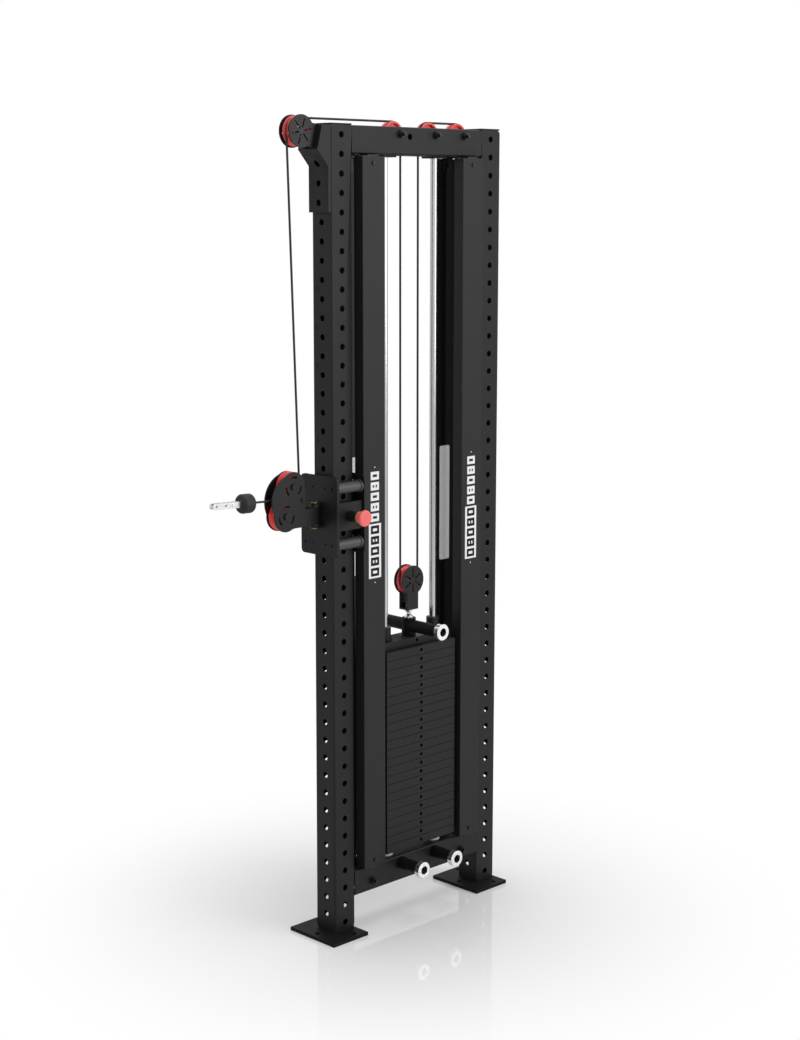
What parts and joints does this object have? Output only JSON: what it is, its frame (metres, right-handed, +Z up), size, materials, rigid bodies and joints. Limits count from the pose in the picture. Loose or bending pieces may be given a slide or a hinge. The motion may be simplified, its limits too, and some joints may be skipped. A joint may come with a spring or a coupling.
{
  "type": "weight stack pulley column",
  "caption": "Upright cable column with a weight stack between punched posts, a shrouded cable run and a sliding pulley carriage.",
  "frame": {"origin": "on the floor, midway between the axes of the two uprights and on their common centre plane", "axes": "+X along the beams towards the right upright, +Y to the back, +Z up; the weight stack's front and the load horns face -Y"},
  "size_m": [1.0315, 0.272, 2.233],
  "materials": {
    "black_powder_coat": "satin",
    "iron_plates": "satin",
    "chrome_rod": "polished",
    "bright_steel": "satin",
    "black_steel": "satin",
    "red_nylon": "gloss",
    "white_nylon": "matt",
    "black_plastic": "matt",
    "grey_roller": "satin",
    "placard_aluminium": "satin",
    "cable_jacket": "satin",
    "ball_rubber": "matt",
    "brass": "polished"
  },
  "bodies": {
    "frame": {"left_upright": "black_powder_coat", "right_upright": "black_powder_coat", "feet": "black_powder_coat", "upright_caps": "black_plastic", "top_beam": "black_powder_coat", "bottom_beam": "black_powder_coat", "pulley_bracket": "black_powder_coat", "top_pulley_block": "black_powder_coat", "front_shrouds": "black_powder_coat", "rear_shrouds": "black_powder_coat", "shroud_fixings": "black_steel", "placards": "placard_aluminium", "guide_rods": "chrome_rod", "rod_seats": "black_plastic", "stack_bumpers": "white_nylon", "weight_plates": "iron_plates", "beam_axles": "black_steel", "storage_pegs": "black_powder_coat", "storage_peg_caps": "chrome_rod", "cable_fixed_runs": "cable_jacket", "cable_stack_runs": "cable_jacket", "cable_anchor_run": "cable_jacket", "cable_carriage_run": "cable_jacket"},
    "weight_head": {"head_plate": "iron_plates", "head_bushings": "black_plastic", "selector_stem": "black_steel", "horn_bar": "black_powder_coat", "horn_caps": "chrome_rod", "float_block": "black_powder_coat", "float_bolt": "bright_steel", "cable_float_wrap": "cable_jacket"},
    "carriage": {"carriage_outer_plate": "black_powder_coat", "carriage_inner_plate": "black_powder_coat", "carriage_bridge": "black_powder_coat", "roller_pins": "bright_steel", "side_pads": "white_nylon", "hinge_pin": "brass", "cable_anchor": "black_steel", "pop_pin_barrel": "black_steel", "pop_pin_spring": "bright_steel"},
    "locking_pin": {"pop_pin": "bright_steel", "pop_pin_knob": "red_nylon"},
    "swivel": {"swivel_housing": "black_powder_coat", "cable_swivel_wrap": "cable_jacket"},
    "cable_end": {"cable_tail": "cable_jacket", "ball_stop": "ball_rubber", "end_link": "bright_steel"},
    "upper_swivel_pulley_body": {"upper_swivel_pulley": "red_nylon"},
    "lower_swivel_pulley_body": {"lower_swivel_pulley": "red_nylon"},
    "float_pulley_body": {"float_pulley": "red_nylon"},
    "left_beam_pulley_body": {"left_beam_pulley": "red_nylon"},
    "middle_beam_pulley_body": {"middle_beam_pulley": "red_nylon"},
    "right_beam_pulley_body": {"right_beam_pulley": "red_nylon"},
    "bottom_left_pulley_body": {"bottom_left_pulley": "red_nylon"},
    "bottom_right_pulley_body": {"bottom_right_pulley": "red_nylon"},
    "top_outer_pulley_body": {"top_outer_pulley": "red_nylon"},
    "front_upper_roller_body": {"front_upper_roller": "grey_roller"},
    "front_lower_roller_body": {"front_lower_roller": "grey_roller"},
    "rear_upper_roller_body": {"rear_upper_roller": "grey_roller"},
    "rear_lower_roller_body": {"rear_lower_roller": "grey_roller"}
  },
  "joints": [
    {"name": "weight_lift", "type": "slide", "parent": "frame", "child": "weight_head", "axis": [0, 0, 1], "range_m": [0, 1.08], "deforming": ["cable_stack_runs"]},
    {"name": "carriage_slide", "type": "slide", "parent": "frame", "child": "carriage", "axis": [0, 0, 1], "range_m": [-0.9, 0.65], "deforming": ["cable_carriage_run", "cable_anchor_run"]},
    {"name": "pop_pin_slide", "type": "slide", "parent": "carriage", "child": "locking_pin", "axis": [0, 1, 0], "range_m": [0, 0.009]},
    {"name": "swivel_turn", "type": "hinge", "parent": "carriage", "child": "swivel", "pos_m": [-0.355, 0, 1.1875], "axis": [0, 0, 1], "range_deg": [-60, 60]},
    {"name": "cable_pull", "type": "slide", "parent": "swivel", "child": "cable_end", "axis": [-0.9994, 0, 0.0349], "range_m": [0, 2.16]},
    {"name": "float_pulley_spin", "type": "hinge", "parent": "weight_head", "child": "float_pulley_body", "pos_m": [0, 0, 0.9612], "axis": [0, 1, 0], "continuous": true},
    {"name": "left_beam_pulley_spin", "type": "hinge", "parent": "frame", "child": "left_beam_pulley_body", "pos_m": [-0.068, 0, 2.191], "axis": [0, 1, 0], "continuous": true},
    {"name": "top_outer_pulley_spin", "type": "hinge", "parent": "frame", "child": "top_outer_pulley_body", "pos_m": [-0.4085, 0, 2.191], "axis": [0, 1, 0], "continuous": true},
    {"name": "middle_beam_pulley_spin", "type": "hinge", "parent": "frame", "child": "middle_beam_pulley_body", "pos_m": [0.068, 0, 2.191], "axis": [0, 1, 0], "continuous": true},
    {"name": "right_beam_pulley_spin", "type": "hinge", "parent": "frame", "child": "right_beam_pulley_body", "pos_m": [0.18, 0, 2.191], "axis": [0, 1, 0], "continuous": true},
    {"name": "bottom_left_pulley_spin", "type": "hinge", "parent": "frame", "child": "bottom_left_pulley_body", "pos_m": [-0.18, 0, 0.128], "axis": [0, 1, 0], "continuous": true},
    {"name": "bottom_right_pulley_spin", "type": "hinge", "parent": "frame", "child": "bottom_right_pulley_body", "pos_m": [0.18, 0, 0.128], "axis": [0, 1, 0], "continuous": true},
    {"name": "upper_swivel_pulley_spin", "type": "hinge", "parent": "swivel", "child": "upper_swivel_pulley_body", "pos_m": [-0.444, 0, 1.275], "axis": [0, 1, 0], "continuous": true},
    {"name": "lower_swivel_pulley_spin", "type": "hinge", "parent": "swivel", "child": "lower_swivel_pulley_body", "pos_m": [-0.47, 0, 1.199], "axis": [0, 1, 0], "continuous": true},
    {"name": "front_upper_roller_spin", "type": "hinge", "parent": "carriage", "child": "front_upper_roller_body", "pos_m": [-0.286, -0.053, 1.261], "axis": [1, 0, 0], "continuous": true},
    {"name": "front_lower_roller_spin", "type": "hinge", "parent": "carriage", "child": "front_lower_roller_body", "pos_m": [-0.286, -0.053, 1.109], "axis": [1, 0, 0], "continuous": true},
    {"name": "rear_upper_roller_spin", "type": "hinge", "parent": "carriage", "child": "rear_upper_roller_body", "pos_m": [-0.286, 0.053, 1.261], "axis": [1, 0, 0], "continuous": true},
    {"name": "rear_lower_roller_spin", "type": "hinge", "parent": "carriage", "child": "rear_lower_roller_body", "pos_m": [-0.286, 0.053, 1.109], "axis": [1, 0, 0], "continuous": true}
  ],
  "couplings": [
    {"joint": "cable_pull", "follows": "weight_lift", "ratio": 2},
    {"joint": "float_pulley_spin", "follows": "weight_lift", "rad_per_m": 29.412},
    {"joint": "left_beam_pulley_spin", "follows": "weight_lift", "rad_per_m": -58.824},
    {"joint": "top_outer_pulley_spin", "follows": "weight_lift", "rad_per_m": -58.824},
    {"joint": "upper_swivel_pulley_spin", "follows": "weight_lift", "rad_per_m": 58.824},
    {"joint": "middle_beam_pulley_spin", "follows": "carriage_slide", "rad_per_m": 29.412},
    {"joint": "right_beam_pulley_spin", "follows": "carriage_slide", "rad_per_m": 29.412},
    {"joint": "bottom_left_pulley_spin", "follows": "carriage_slide", "rad_per_m": 29.412},
    {"joint": "bottom_right_pulley_spin", "follows": "carriage_slide", "rad_per_m": 29.412},
    {"joint": "front_upper_roller_spin", "follows": "carriage_slide", "rad_per_m": -66.667},
    {"joint": "front_lower_roller_spin", "follows": "carriage_slide", "rad_per_m": -66.667},
    {"joint": "rear_upper_roller_spin", "follows": "carriage_slide", "rad_per_m": 66.667},
    {"joint": "rear_lower_roller_spin", "follows": "carriage_slide", "rad_per_m": 66.667}
  ]
}
